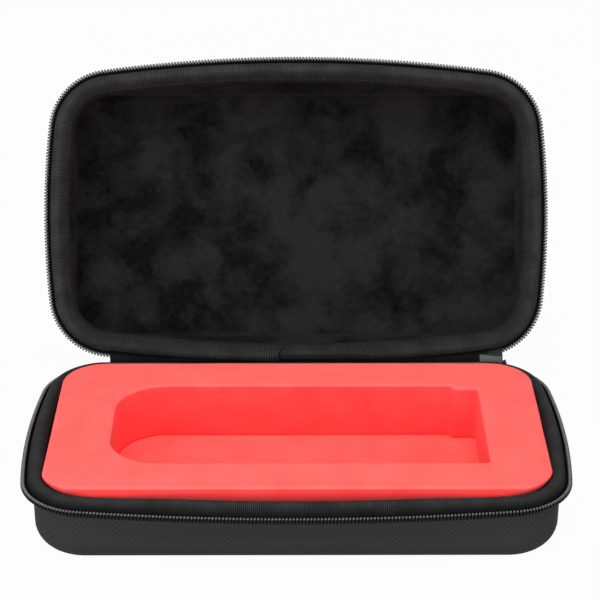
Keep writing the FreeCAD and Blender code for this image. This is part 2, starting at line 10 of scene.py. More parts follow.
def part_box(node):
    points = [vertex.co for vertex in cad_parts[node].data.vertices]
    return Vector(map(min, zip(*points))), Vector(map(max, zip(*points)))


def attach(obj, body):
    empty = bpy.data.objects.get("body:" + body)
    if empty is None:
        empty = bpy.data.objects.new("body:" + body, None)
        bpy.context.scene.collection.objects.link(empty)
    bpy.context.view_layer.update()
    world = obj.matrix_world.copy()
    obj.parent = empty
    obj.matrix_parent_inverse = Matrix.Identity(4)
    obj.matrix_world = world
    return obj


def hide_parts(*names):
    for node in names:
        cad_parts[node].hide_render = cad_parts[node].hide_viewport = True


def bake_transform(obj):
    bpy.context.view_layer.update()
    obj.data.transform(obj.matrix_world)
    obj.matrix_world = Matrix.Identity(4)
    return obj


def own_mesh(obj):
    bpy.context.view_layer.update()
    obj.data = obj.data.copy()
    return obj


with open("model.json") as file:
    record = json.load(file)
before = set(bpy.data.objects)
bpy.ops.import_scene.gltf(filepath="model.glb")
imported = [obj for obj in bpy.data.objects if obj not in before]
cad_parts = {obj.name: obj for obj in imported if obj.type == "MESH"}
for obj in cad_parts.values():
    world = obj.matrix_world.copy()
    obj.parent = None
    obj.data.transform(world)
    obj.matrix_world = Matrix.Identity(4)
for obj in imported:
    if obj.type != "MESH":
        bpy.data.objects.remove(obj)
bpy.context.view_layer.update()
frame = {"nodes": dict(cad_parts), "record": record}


# Base and lid shells
# Each half is a dish heat-moulded from a foam sheet, with a dull embossed fabric on its outer face.
# The bowed rim runs smoothly into straight walls, a large rounded edge and a flat floor.
MM = 0.001
coil_low, coil_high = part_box("base_zip_teeth")
HALF_LENGTH = coil_high[0]
HALF_DEPTH = -coil_low[1]
CORNER_RADIUS = 33.8 * MM
LONG_BOW = 789 * MM
SHORT_BOW = 435 * MM
TUB_HALF_LENGTH = 127.35 * MM
TUB_HALF_DEPTH = 72 * MM
TUB_CORNER = 26 * MM
RIM_WALL = 5.4 * MM
SHELL_WALL = 5 * MM
EDGE_ROUND = 12 * MM
SHELL_TOP = -1.2 * MM
UNDER_TAPE = 0.7 * MM
TAPE_FOOT = -4.4 * MM
WALL_TOP = -5 * MM
LEAN_FROM, LEAN_TO = -6 * MM, -21 * MM
PER_LONG, PER_SHORT, PER_CORNER = 120, 72, 48
WALL_ROWS, EDGE_ROWS = 22, 12
PIT_PITCH_ALONG, PIT_PITCH_UP = 2.95 * MM, 3.35 * MM
WALL_GROUND, WALL_PIT = (0.0355, 0.0355, 0.0362), (0.0225, 0.0225, 0.023)
hinge = next(joint for joint in frame["record"]["behaviour"]["joints"] if joint["name"] == "lid_hinge")
HINGE_Y, PARTING = hinge["pos_m"][1:]
LID_TURN = math.radians(hinge["range_deg"][1])
DEPTH = {"base": PARTING, "lid": 38 * MM}
lid_axis = Vector((0, math.cos(LID_TURN / 2), -math.sin(LID_TURN / 2)))
lid_shift = Vector((0, HINGE_Y * (1 - math.cos(LID_TURN)), PARTING + HINGE_Y * math.sin(LID_TURN)))
IN_PLACE = {
    "base": Matrix.Translation((0, 0, PARTING)),
    "lid": Matrix.Translation(lid_shift) @ Matrix.Rotation(math.pi, 4, lid_axis),
}


def rim_arcs():
    """The coil's line as eight touching arcs, anticlockwise: centre, radius, two angles and a point count."""
    long_y = HALF_DEPTH - LONG_BOW
    short_x = HALF_LENGTH - SHORT_BOW
    from_long = LONG_BOW - CORNER_RADIUS
    from_short = SHORT_BOW - CORNER_RADIUS
    span = Vector((short_x, -long_y))
    along = (from_long**2 - from_short**2 + span.length_squared) / (2 * span.length)
    aside = math.sqrt(from_long**2 - along**2)
    unit = span.normalized()
    corner = Vector((0, long_y)) + unit * along + Vector((unit.y, -unit.x)) * aside
    end_turn = math.atan2(corner.y, corner.x - short_x)
    long_turn = math.atan2(corner.x, corner.y - long_y)
    arcs = []
    for start, side in ((0, 1), (math.pi, -1)):
        quarter = start + math.pi / 2
        far = start + math.pi
        near_corner = (corner.x * side, corner.y * side)
        far_corner = (-corner.x * side, corner.y * side)
        arcs += [
            ((short_x * side, 0), SHORT_BOW, start - end_turn, start + end_turn, PER_SHORT),
            (near_corner, CORNER_RADIUS, start + end_turn, quarter - long_turn, PER_CORNER),
            ((0, long_y * side), LONG_BOW, quarter - long_turn, quarter + long_turn, PER_LONG),
            (far_corner, CORNER_RADIUS, quarter + long_turn, far - end_turn, PER_CORNER),
        ]
    return arcs


RIM_ARCS = rim_arcs()


def rim_line(inset):
    """Points of the coil's line moved inwards. All insets share their centres, so the points keep in step."""
    runs = []
    for centre, radius, first, last, count in RIM_ARCS:
        angles = np.linspace(first, last, count, endpoint=False)
        runs.append(np.array(centre) + (radius - inset) * np.stack([np.cos(angles), np.sin(angles)], axis=1))
    return np.concatenate(runs)


def box_line(half_x, half_y, radius):
    """Points of a rounded rectangle, as many on each side and corner as the rim's line has."""
    inner_x, inner_y = half_x - radius, half_y - radius
    walls = [
        ((half_x, -inner_y), (half_x, inner_y), PER_SHORT),
        ((inner_x, half_y), (-inner_x, half_y), PER_LONG),
    ]
    corners = [((inner_x, inner_y), 0), ((-inner_x, inner_y), math.pi / 2)]
    runs = []
    for side in (1, -1):
        for (near, far, count), (centre, start) in zip(walls, corners):
            steps = np.linspace(0, 1, count, endpoint=False)[:, None]
            runs.append(side * (np.array(near) * (1 - steps) + np.array(far) * steps))
            angles = np.linspace(start, start + math.pi / 2, PER_CORNER, endpoint=False)
            bend = np.array(centre) + radius * np.stack([np.cos(angles), np.sin(angles)], axis=1)
            runs.append(side * bend)
    return np.concatenate(runs)


def ease(share):
    """Share from 0 to 1 with soft ends, for a number or an array."""
    share = np.clip(share, 0, 1)
    return share * share * (3 - 2 * share)


def at_height(line, z):
    return np.column_stack([line, np.full(len(line), z)])


def dish_row(skin, lean, inset, z):
    """One row of a dish: the bowed rim where lean is 0, and the straight tub where it is 1.

    The inset moves the tub inwards, for the rounded edge of its floor.
    """
    rim = rim_line(RIM_WALL + skin)
    taken = skin + inset
    tub = box_line(TUB_HALF_LENGTH - taken, TUB_HALF_DEPTH - taken, TUB_CORNER - taken)
    return at_height(rim * (1 - lean) + tub * lean, z)


def dish_rows(depth, skin, lean_from, lean_to, rounding):
    """Rows of a dish from the top of its wall down to the edge of its flat floor."""
    floor = skin - depth
    rows = []
    for z in np.linspace(WALL_TOP, floor + rounding, WALL_ROWS):
        rows.append(dish_row(skin, ease((lean_from - z) / (lean_from - lean_to)), 0, z))
    for turn in np.linspace(0, math.pi / 2, EDGE_ROWS)[1:]:
        z = floor + rounding * (1 - math.sin(turn))
        lean = ease((lean_from - z) / (lean_from - lean_to))
        rows.append(dish_row(skin, lean, rounding * (1 - math.cos(turn)), z))
    return rows


def lofted(rows, ring=False, loop=True, caps=False):
    """Points and faces of a skin over rows of points. A ring joins the last row to the first."""
    width = len(rows[0])
    faces = []
    for row in range(len(rows) - (0 if ring else 1)):
        here, there = row * width, (row + 1) % len(rows) * width
        for step in range(width if loop else width - 1):
            beside = (step + 1) % width
            faces.append((here + step, here + beside, there + beside, there + step))
    if caps:
        last = (len(rows) - 1) * width
        faces.append(tuple(range(width)))
        faces.append(tuple(range(last, last + width)))
    return np.concatenate(rows), faces


def cube_uv(mesh):
    """Flat map in metres: each face is laid out along the two axes that it faces least."""
    layer = mesh.uv_layers.new(name="cloth")
    flat = {0: (1, 2), 1: (0, 2), 2: (0, 1)}
    for face in mesh.polygons:
        across, up = flat[int(np.argmax(np.abs(face.normal)))]
        for loop in face.loop_indices:
            place = mesh.vertices[mesh.loops[loop].vertex_index].co
            layer.data[loop].uv = (place[across], place[up])


def make_mesh(name, points, faces):
    mesh = bpy.data.meshes.new(name)
    mesh.from_pydata([tuple(point) for point in points], [], faces)
    work = bmesh.new()
    work.from_mesh(mesh)
    bmesh.ops.recalc_face_normals(work, faces=work.faces)
    work.to_mesh(mesh)
    work.free()
    mesh.shade_smooth()
    return mesh


def add_piece(mesh, half, finish, replaced=(), rides=True):
    """Puts a mesh drawn about the parting plane into its half.

    It rides on that half's body, unless rides is false; then it is tied to no body.
    """
    mesh.transform(IN_PLACE[half])
    mesh.materials.append(finish)
    piece = bpy.data.objects.new(mesh.name, mesh)
    bpy.context.collection.objects.link(piece)
    if rides:
        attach(piece, half)
    if replaced:
        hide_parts(*replaced)
    return piece


def new_finish(name, roughness, **sockets):
    """A material with its node tree and its shader, whose plain sockets are set at once."""
    finish = bpy.data.materials.new(name)
    finish.use_nodes = True
    shader = finish.node_tree.nodes["Principled BSDF"]
    shader.inputs["Roughness"].default_value = roughness
    for socket, value in sockets.items():
        shader.inputs[socket.replace("_", " ")].default_value = value
    return finish, finish.node_tree, shader


def add_node(tree, kind, inputs=(), **settings):
    """A shader node with its settings, and with its sockets linked or set."""
    made = tree.nodes.new(kind)
    for name, value in settings.items():
        setattr(made, name, value)
    for socket, value in dict(inputs).items():
        if isinstance(value, bpy.types.NodeSocket):
            tree.links.new(value, made.inputs[socket])
        else:
            made.inputs[socket].default_value = value
    return made


def math_node(tree, operation, first, second=0.0):
    return add_node(tree, "ShaderNodeMath", {0: first, 1: second}, operation=operation).outputs[0]


def weighted(tree, *parts):
    """Sum of heights, each given with its weight."""
    heights = [math_node(tree, "MULTIPLY", height, weight) for height, weight in parts]
    total = heights[0]
    for height in heights[1:]:
        total = math_node(tree, "ADD", total, height)
    return total


def colour_between(tree, share, dark, light):
    """Colour that goes from dark to light with a share from 0 to 1."""
    mix = add_node(tree, "ShaderNodeMix", {0: share}, data_type="RGBA")
    mix.inputs["A"].default_value = (*dark, 1)
    mix.inputs["B"].default_value = (*light, 1)
    return mix.outputs["Result"]


def paint(tree, shader, share, dark, light):
    """Gives a shader its colour, from dark to light."""
    tree.links.new(colour_between(tree, share, dark, light), shader.inputs["Base Color"])


def cloth_map(tree):
    """Lengths along and across a piece from its flat map, and the place in the piece."""
    coordinates = add_node(tree, "ShaderNodeTexCoord")
    flat = add_node(tree, "ShaderNodeSeparateXYZ", {0: coordinates.outputs["UV"]})
    return flat.outputs["X"], flat.outputs["Y"], coordinates.outputs["Object"]


def speckle(tree, place, size, detail=2.0, roughness=0.5, distortion=0.0):
    """Noise whose patches are about size across, in metres."""
    inputs = {"Vector": place, "Scale": 1 / size, "Detail": detail}
    inputs |= {"Roughness": roughness, "Distortion": distortion}
    return add_node(tree, "ShaderNodeTexNoise", inputs).outputs["Fac"]


def wave(tree, length, pitch, shape="SINE"):
    """Wave from -1 to 1 along a length, with one crest to each pitch."""
    return math_node(tree, shape, math_node(tree, "MULTIPLY", length, 2 * math.pi / pitch))


def stretch(tree, height, low, high):
    """The part of a height between low and high, spread over 0 to 1."""
    inputs = {"Value": height, "From Min": low, "From Max": high}
    return add_node(tree, "ShaderNodeMapRange", inputs).outputs["Result"]


def bump(tree, shader, height, depth, strength):
    """Relief of the given depth, in metres, under a height from 0 to 1."""
    relief = add_node(tree, "ShaderNodeBump", {"Height": height, "Distance": depth, "Strength": strength})
    tree.links.new(relief.outputs["Normal"], shader.inputs["Normal"])


def shell_fabric():
    """Charcoal fabric embossed with staggered rows of small dark pits, over a fine grain."""
    finish, tree, shader = new_finish("shell_fabric", 0.75, Specular_IOR_Level=0.06)
    along, up, place = cloth_map(tree)
    rows = wave(tree, along, PIT_PITCH_ALONG, "COSINE")
    columns = wave(tree, up, PIT_PITCH_UP, "COSINE")
    pits = stretch(tree, math_node(tree, "MULTIPLY", rows, columns), 0.1, 0.8)
    grain = speckle(tree, place, 0.35 * MM)
    cloud = speckle(tree, place, 12 * MM)
    paint(tree, shader, weighted(tree, (pits, 0.75), (cloud, 0.25)), WALL_GROUND, WALL_PIT)
    bump(tree, shader, weighted(tree, (grain, 0.5), (pits, -1.0)), 0.12 * MM, 0.6)
    return finish


SHELL_FABRIC = shell_fabric()
for half in ("base", "lid"):
    outside = [at_height(rim_line(RIM_WALL + UNDER_TAPE), z) for z in (SHELL_TOP, TAPE_FOOT)]
    outside += dish_rows(DEPTH[half], 0, LEAN_FROM, LEAN_TO, EDGE_ROUND)
    inside = [at_height(rim_line(RIM_WALL + SHELL_WALL), SHELL_TOP)]
    inside += dish_rows(DEPTH[half], SHELL_WALL, LEAN_FROM, LEAN_TO, EDGE_ROUND - SHELL_WALL)
    shell_mesh = make_mesh(f"{half}_shell_cover", *lofted(inside[::-1] + outside, caps=True))
    cube_uv(shell_mesh)
    add_piece(shell_mesh, half, SHELL_FABRIC, [f"{half}_shell"])


# Plush linings
# A short-pile black plush is laminated to the inside of each half before moulding.
# Its nap lies in soft blotches where hands have brushed it, and it dips where the wall meets the floor.
LINING = 1.2 * MM
LINING_TOP = -4.2 * MM
LINING_LEAN_FROM, LINING_LEAN_TO = -5 * MM, -25 * MM
LINING_ROUND = 5 * MM
PILE_DARK, PILE_LIGHT = (0.0001, 0.0001, 0.0001), (0.0182, 0.0182, 0.019)


def plush():
    """Near-black pile: cloudy patches of brushed nap, a fuzzy grain and a faint sheen."""
    finish, tree, shader = new_finish("black_plush", 0.95, Specular_IOR_Level=0.05, Sheen_Weight=0.02,
                                      Sheen_Roughness=0.45, Sheen_Tint=(0.8, 0.82, 0.85, 1))
    place = add_node(tree, "ShaderNodeTexCoord").outputs["Object"]
    cloud = stretch(tree, speckle(tree, place, 30 * MM, 5.0, 0.62, 0.25), 0.40, 0.60)
    smear = stretch(tree, speckle(tree, place, 3.2 * MM, 3.0, 0.6, 0.3), 0.3, 0.7)
    fuzz = stretch(tree, speckle(tree, place, 0.8 * MM, 1.0), 0.3, 0.7)
    nap = weighted(tree, (cloud, 0.62), (smear, 0.2), (fuzz, 0.18))
    paint(tree, shader, nap, PILE_DARK, PILE_LIGHT)
    bump(tree, shader, weighted(tree, (smear, 2.0), (fuzz, 1.0)), 0.35 * MM, 0.5)
    return finish


BLACK_PLUSH = plush()
for half in ("base", "lid"):
    skin = SHELL_WALL + LINING
    outside = [at_height(rim_line(RIM_WALL + SHELL_WALL), LINING_TOP)]
    outside += dish_rows(DEPTH[half], SHELL_WALL, LEAN_FROM, LEAN_TO, EDGE_ROUND - SHELL_WALL)
    inside = [at_height(rim_line(RIM_WALL + skin), LINING_TOP)]
    inside += dish_rows(DEPTH[half], skin, LINING_LEAN_FROM, LINING_LEAN_TO, LINING_ROUND)
    lining_mesh = make_mesh(f"{half}_plush_lining", *lofted(inside[::-1] + outside, caps=True))
    cube_uv(lining_mesh)
    add_piece(lining_mesh, half, BLACK_PLUSH, [f"{half}_shell"])


# Foam floor and foam insert
# A red sponge block is die-cut with the bed and laid on a red sponge sheet, inside the base's lining.
# Faces that look up are painted paler, as painted light from above, and the sides are a deeper red; every
# edge is softly rounded.
insert_low, insert_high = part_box("foam_insert")
floor_low, floor_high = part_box("foam_floor")
FOAM_LEFT, FOAM_RIGHT = -122.2 * MM, 123.2 * MM
FOAM_FRONT, FOAM_BACK = -66.2 * MM, 66.1 * MM
FOAM_FRONT_CORNER, FOAM_BACK_CORNER = 16 * MM, 22 * MM
FOAM_TOP = insert_high[2] - PARTING
FOAM_BOTTOM = insert_low[2] - PARTING
FOAM_SHOULDER = -4.7 * MM
FOAM_FIT = 0.3 * MM
FOAM_FOOT = 5 * MM
NECK_INSET, NECK_TOP = 11.7 * MM, 0.6 * MM
SLAB_INSET, SLAB_FOOT = 9.4 * MM, 2.2 * MM
BED_LEFT, BED_RIGHT = -92 * MM, 94 * MM
BED_FRONT, BED_BACK = -41.4 * MM, 39.8 * MM
BED_STEP_LENGTH, BED_STEP = 13 * MM, 3.6 * MM
BED_ROUND = 25 * MM
SPONGE_WAVE, SPONGE_DIMPLE = 22 * MM, 5 * MM


def red_foam():
    """Open-cell sponge: a deep red on its sides, painted paler on faces that look up as painted light from
    above, with fine cells and soft mottling.
    """
    finish, tree, shader = new_finish("red_foam", 0.9, Specular_IOR_Level=0.2, Sheen_Weight=0.08,
                                      Sheen_Roughness=0.6, Sheen_Tint=(1, 0.7, 0.65, 1))
    coordinates = add_node(tree, "ShaderNodeTexCoord")
    place = coordinates.outputs["Object"]
    up = add_node(tree, "ShaderNodeSeparateXYZ", {0: coordinates.outputs["Normal"]}).outputs["Z"]
    # Share of the paler colour by how far each face looks up: painted light from above.
    skin = stretch(tree, up, 0.1, 0.6)
    cells = speckle(tree, place, 0.45 * MM, 1.0)
    mottle = stretch(tree, speckle(tree, place, 14 * MM, 3.0), 0.3, 0.7)
    mix = add_node(tree, "ShaderNodeMix", {0: skin}, data_type="RGBA")
    # Side colour: the foam's own deep red. Top colour: the same foam painted paler, as painted light from
    # above.
    cut = colour_between(tree, mottle, (0.98, 0.044, 0.046), (1.0, 0.062, 0.062))
    lit_top_colour = colour_between(tree, mottle, (0.97, 0.110, 0.098), (1.0, 0.135, 0.120))
    tree.links.new(cut, mix.inputs["A"])
    tree.links.new(lit_top_colour, mix.inputs["B"])
    tree.links.new(mix.outputs["Result"], shader.inputs["Base Color"])
    bump(tree, shader, cells, 0.12 * MM, 0.35)
    return finish


def foam_outline(inset):
    """Outline of the insert's upper part, with tighter corners at the front, kept inside the rim."""
    middle = Vector(((FOAM_LEFT + FOAM_RIGHT) / 2, (FOAM_FRONT + FOAM_BACK) / 2))
    half = Vector((FOAM_RIGHT, FOAM_BACK)) - middle
    front, back = [box_line(half.x, half.y, corner) for corner in (FOAM_FRONT_CORNER, FOAM_BACK_CORNER)]
    line = np.where(front[:, 1:] < 0, front, back) + np.array(middle)
    rim = rim_line(inset)
    rim_turns = np.unwrap(np.arctan2(rim[:, 1], rim[:, 0]))
    turns = np.arctan2(line[:, 1], line[:, 0])
    reach = np.interp(turns, rim_turns, np.linalg.norm(rim, axis=1), period=2 * math.pi)
    return line * np.minimum(1, reach / np.linalg.norm(line, axis=1))[:, None]


def bed_outline():
    """Outline of the bed: a round left end, and a narrower square right end."""
    step_x, step_y = BED_RIGHT - BED_STEP_LENGTH, BED_BACK - BED_STEP
    points = [(BED_RIGHT, BED_FRONT), (BED_RIGHT, step_y), (step_x, step_y), (step_x, BED_BACK)]
    centre_x = BED_LEFT + BED_ROUND
    for centre_y, start in ((BED_BACK - BED_ROUND, math.pi / 2), (BED_FRONT + BED_ROUND, math.pi)):
        for turn in np.linspace(start, start + math.pi / 2, 25):
            points.append((centre_x + BED_ROUND * math.cos(turn), centre_y + BED_ROUND * math.sin(turn)))
    return points


def foam_block(name, rows, bed):
    """Closed block over rows of its outline, with the bed cut right through it."""
    work = bmesh.new()
    ends = []
    for wall in (rows, [at_height(np.array(bed), rows[end][0][2]) for end in (0, -1)]):
        rings = [[work.verts.new(point) for point in row] for row in wall]
        for lower, upper in zip(rings, rings[1:]):
            for step in range(len(lower)):
                beside = (step + 1) % len(lower)
                work.faces.new((lower[step], lower[beside], upper[beside], upper[step]))
        ends.append((rings[0], rings[-1]))
    for face in zip(*ends):
        edges = [work.edges.get((ring[step - 1], ring[step])) for ring in face for step in range(len(ring))]
        bmesh.ops.triangle_fill(work, use_beauty=True, edges=edges)
    bmesh.ops.recalc_face_normals(work, faces=work.faces)
    mesh = bpy.data.meshes.new(name)
    work.to_mesh(mesh)
    work.free()
    return mesh


def soften(piece, voxel, rounds, ripple):
    """Remeshes a piece evenly, rounds its edges and gives its faces the slight unevenness of sponge."""
    remesh = piece.modifiers.new("even", "REMESH")
    remesh.mode = "VOXEL"
    remesh.voxel_size = voxel
    smooth = piece.modifiers.new("rounded", "SMOOTH")
    smooth.iterations = rounds
    smooth.factor = 0.5
    bpy.context.view_layer.update()
    result = bpy.data.meshes.new_from_object(piece.evaluated_get(bpy.context.evaluated_depsgraph_get()))
    piece.modifiers.clear()
    piece.data = result
    places = [vertex.co.copy() for vertex in result.vertices]
    normals = [vertex.normal.copy() for vertex in result.vertices]
    for vertex, place, normal in zip(result.vertices, places, normals):
        swell = noise.noise(place / SPONGE_WAVE) + 0.35 * noise.noise(place / SPONGE_DIMPLE)
        vertex.co = place + normal * swell * ripple
    result.shade_smooth()


RED_FOAM = red_foam()
block_x = TUB_HALF_LENGTH - SHELL_WALL - LINING - FOAM_FIT
block_y = TUB_HALF_DEPTH - SHELL_WALL - LINING - FOAM_FIT
block_corner = TUB_CORNER - SHELL_WALL - LINING
foot_line = box_line(block_x - FOAM_FOOT, block_y - FOAM_FOOT, block_corner - FOAM_FOOT)
block_line = box_line(block_x, block_y, block_corner)
neck_line, slab_line = foam_outline(NECK_INSET), foam_outline(SLAB_INSET)
insert_rows = [
    at_height(foot_line, FOAM_BOTTOM),
    at_height(block_line, FOAM_BOTTOM + FOAM_FOOT),
    at_height(block_line, FOAM_SHOULDER),
    at_height(neck_line, FOAM_SHOULDER),
    at_height(neck_line, NECK_TOP),
    at_height(slab_line, SLAB_FOOT),
    at_height(slab_line, FOAM_TOP),
]
foam_insert = bpy.data.objects.new("foam_bed", foam_block("foam_bed", insert_rows, bed_outline()))
bpy.context.collection.objects.link(foam_insert)
soften(foam_insert, 1.0 * MM, 4, 0.10 * MM)
foam_insert.data.materials.append(RED_FOAM)
foam_insert.data.transform(IN_PLACE["base"])
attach(foam_insert, "base")
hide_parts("foam_insert")
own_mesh(foam_insert)

sheet_x, sheet_y = [(floor_high[axis] - floor_low[axis]) / 2 for axis in (0, 1)]
sheet_line = box_line(sheet_x, sheet_y, TUB_CORNER - EDGE_ROUND)
sheet_rows = [at_height(sheet_line, floor_low[2]), at_height(sheet_line, floor_high[2])]
foam_floor = bpy.data.objects.new("foam_sheet", make_mesh("foam_sheet", *lofted(sheet_rows, caps=True)))
bpy.context.collection.objects.link(foam_floor)
soften(foam_floor, 1.2 * MM, 2, 0.05 * MM)
foam_floor.data.materials.append(RED_FOAM)
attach(foam_floor, "base")
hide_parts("foam_floor")


# Rim bindings
# A ribbed woven tape is folded over the cut rim of each half and sewn through, just inside the zip.
# It stands as a soft bead, with ribs across it. On the case the two beads press flat as it is closed; here
# they are drawn as they stand open.
RIB_PITCH = 0.95 * MM
# The second colour is the near-black that the tape's painted shade darkens towards.
RIB_DARK, PAINTED_SHADE_COLOUR = (0.005, 0.005, 0.0054), (0.001, 0.001, 0.001)
HINGE_ROOM = 0.25 * MM
BEAD_ROUND = 1.2 * MM
BEAD_ROOT = [(6.0, -1.0), (6.0, -4.4), (5.3, -4.4), (5.3, -3.9), (2.9, -3.9)]
BEAD_CROWN = {
    "base": [(2.9, -3.2), (3.5, -0.9), (5.6, 2.2), (7.8, 3.0), (9.3, 2.4), (10.8, 0.0), (11.5, -2.6),
             (12.1, -5.6), (11.5, -5.6), (10.55, -1.1)],
    "lid": [(3.1, -2.7), (3.9, -0.4), (5.8, 1.7), (7.8, 2.6), (9.8, 2.0), (11.9, 0.0), (13.1, -2.6),
            (13.7, -5.6), (13.1, -5.6), (11.3, -1.1)],
}
BEAD_BENDS = {"base": (0.65, 2.9 * MM, 0.4, 0), "lid": (1.1, 0.6 * MM, 0, 1)}
SINK_FROM, SINK_RUN, SINK_BACK = 55 * MM, 45 * MM, 30 * MM
LAP_FROM, LAP_RUN, LAP_TO, LAP_FADE = 8 * MM, 1.7 * MM, 105 * MM, 35 * MM
LAP_RISE, LAP_HANG = 0.45, 1.5 * MM
# Track and width of a near-black tube of painted shadow along the tape's fold.
FOLD_TRACK = [(6.0, 12.0), (7.1, 11.0), (8.3, 9.8), (8.9, 8.6), (9.0, 7.2), (9.0, 6.2)]
FOLD_SHADOW_WIDTH = 0.5 * MM
STITCH_AT = {"base": (10.85 * MM, -0.1 * MM), "lid": (12.0 * MM, -0.1 * MM)}
STITCH_PITCH, STITCH_LENGTH, STITCH_THREAD = 3.2 * MM, 2.3 * MM, 0.28 * MM
THREAD_SIDES = np.arange(6) * math.pi / 3


def from_mm(pairs):
    return [(first * MM, second * MM) for first, second in pairs]


def rounded_section(corners, radius, steps):
    """Closed section through corners, given as inset and height, each rounded by up to radius."""
    points = []
    for index, place in enumerate(corners):
        corner = Vector(place)
        before = Vector(corners[index - 1]) - corner
        after = Vector(corners[(index + 1) % len(corners)]) - corner
        cut = min(radius, before.length * 0.45, after.length * 0.45)
        first, last = corner + before.normalized() * cut, corner + after.normalized() * cut
        for share in np.linspace(0, 1, steps):
            points.append(first * (1 - share) ** 2 + corner * 2 * share * (1 - share) + last * share**2)
    return points


def strip_uv(mesh, width, along, across):
    """Map in metres for a lofted strip: along its length and across its rows, with the seam unrolled."""
    layer = mesh.uv_layers.new(name="cloth")
    for face in mesh.polygons:
        corners = [mesh.loops[loop].vertex_index for loop in face.loop_indices]
        steps = [corner % width for corner in corners]
        wraps = max(steps) - min(steps) > width // 2
        for loop, corner, step in zip(face.loop_indices, corners, steps):
            length = along[step] + (along[-1] if wraps and step == 0 else 0)
            layer.data[loop].uv = (length, across[corner // width])


def line_lengths(line, closed):
    steps = np.linalg.norm(np.diff(line, axis=0, append=line[:1] if closed else line[-1:]), axis=1)
    return np.concatenate([[0], np.cumsum(steps)])


def back_y(x, inset):
    """How far back the rim's line lies at x."""
    line = rim_line(inset)
    behind = line[line[:, 1] > 0]
    order = np.argsort(behind[:, 0])
    return np.interp(x, behind[order, 0], behind[order, 1])


def bead_mesh(name, section, slope, drop, sink, overlap):
    """Sweeps a bead right round the rim. It sinks at the front corners and falls to the hinge at the back.

    Along part of the back, the tape's end lies over its start and hangs a little lower.
    """
    rows = [at_height(rim_line(point.x), point.y) for point in section]
    for row in rows:
        x, y = row[:, 0].copy(), row[:, 1].copy()
        above = np.maximum(row[:, 2] + 1 * MM, 0)
        sunk = ease((np.abs(x) - SINK_FROM) / SINK_RUN) * ease((SINK_BACK - y) / (2 * SINK_BACK)) * sink
        lap = ease((x - LAP_FROM) / LAP_RUN) * ease((LAP_TO - x) / LAP_FADE) * (y > 0) * overlap
        edge = HINGE_Y + LAP_HANG * lap
        row[:, 1] = np.minimum(y, edge - HINGE_ROOM)
        row[:, 2] += np.minimum(above, 1 * MM) * lap * LAP_RISE - above * sunk
        row[:, 2] = np.minimum(row[:, 2], (edge - row[:, 1]) * slope - drop)
    mesh = make_mesh(name, *lofted(rows, ring=True))
    strip_uv(mesh, len(rows[0]), line_lengths(rim_line(RIM_WALL), True), [point.x for point in section] * 2)
    return mesh


def ribbed_tape(name, light, lit, shaded, least):
    """Grosgrain: raised ribs across the tape, dark between them.

    Over its width the tape carries painted shade: from the lit inset to the shaded one, its tone falls from
    full to the least share, towards a near-black painted shade colour.
    """
    finish, tree, shader = new_finish(name, 0.8, Specular_IOR_Level=0.08)
    along, inset, place = cloth_map(tree)
    wobble = math_node(tree, "MULTIPLY", speckle(tree, place, 3 * MM), 0.5 * MM)
    ribs = stretch(tree, wave(tree, math_node(tree, "ADD", along, wobble), RIB_PITCH), -1, 1)
    patches = stretch(tree, speckle(tree, place, 9 * MM), 0.3, 0.7)
    faded = math_node(tree, "ADD", math_node(tree, "MULTIPLY", patches, 0.5), 0.5)
    cloth = colour_between(tree, math_node(tree, "MULTIPLY", ribs, faded), RIB_DARK, light)
    fall = {"Value": inset, "From Min": lit, "From Max": shaded, "To Min": 1.0, "To Max": least}
    painted_shade = add_node(tree, "ShaderNodeMapRange", fall).outputs["Result"]
    mix = add_node(tree, "ShaderNodeMix", {0: painted_shade}, data_type="RGBA")
    mix.inputs["A"].default_value = (*PAINTED_SHADE_COLOUR, 1)
    tree.links.new(cloth, mix.inputs["B"])
    tree.links.new(mix.outputs["Result"], shader.inputs["Base Color"])
    bump(tree, shader, ribs, 0.14 * MM, 0.6)
    return finish


def stitch_mesh(name, inset, level):
    """Row of short thread stitches through the bead's inner slope, right round the rim."""
    line = at_height(rim_line(inset), level)
    lengths = line_lengths(line, True)
    closed = np.vstack([line, line[:1]])
    points, faces = [], []
    for start in np.arange(0, lengths[-1] - STITCH_PITCH, STITCH_PITCH):
        reach = [start, start + STITCH_LENGTH]
        first, last = np.column_stack([np.interp(reach, lengths, closed[:, axis]) for axis in range(3)])
        ahead = (last - first) / np.linalg.norm(last - first)
        aside = np.array([ahead[1], -ahead[0], 0])
        ring = np.outer(np.cos(THREAD_SIDES), aside) + np.outer(np.sin(THREAD_SIDES), [0, 0, 1])
        rows = []
        for share in np.linspace(0, 1, 5):
            thick = STITCH_THREAD * (0.35 + 0.65 * math.sin(math.pi * (0.1 + 0.8 * share)))
            rows.append(first + (last - first) * share + ring * thick)
        stitch_points, stitch_faces = lofted(rows, caps=True)
        faces += [tuple(corner + len(points) for corner in face) for face in stitch_faces]
        points += list(stitch_points)
    return make_mesh(name, points, faces)


def fold_shadow_mesh(name, bead):
    """Near-black tube laid on the bead along the slanted fold where its tape ends and laps over its start:
    painted shadow of the fold.
    """
    places = [corner.co for corner in bead.vertices]
    surface = BVHTree.FromPolygons(places, [face.vertices for face in bead.polygons])
    ring = np.column_stack([np.cos(THREAD_SIDES), np.zeros(len(THREAD_SIDES)), np.sin(THREAD_SIDES)])
    rows = []
    for x, inset in from_mm(FOLD_TRACK):
        above = Vector((x, back_y(x, inset), 20 * MM))
        point = surface.ray_cast(above, Vector((0, 0, -1)))[0]
        rows.append(np.array(point) + ring * FOLD_SHADOW_WIDTH)
    return make_mesh(name, *lofted(rows, caps=True))


def sewing_thread(name, dark, light):
    """Twisted black polyester thread."""
    finish, tree, shader = new_finish(name, 0.7, Specular_IOR_Level=0.1)
    place = add_node(tree, "ShaderNodeTexCoord").outputs["Object"]
    paint(tree, shader, speckle(tree, place, 0.5 * MM), dark, light)
    return finish
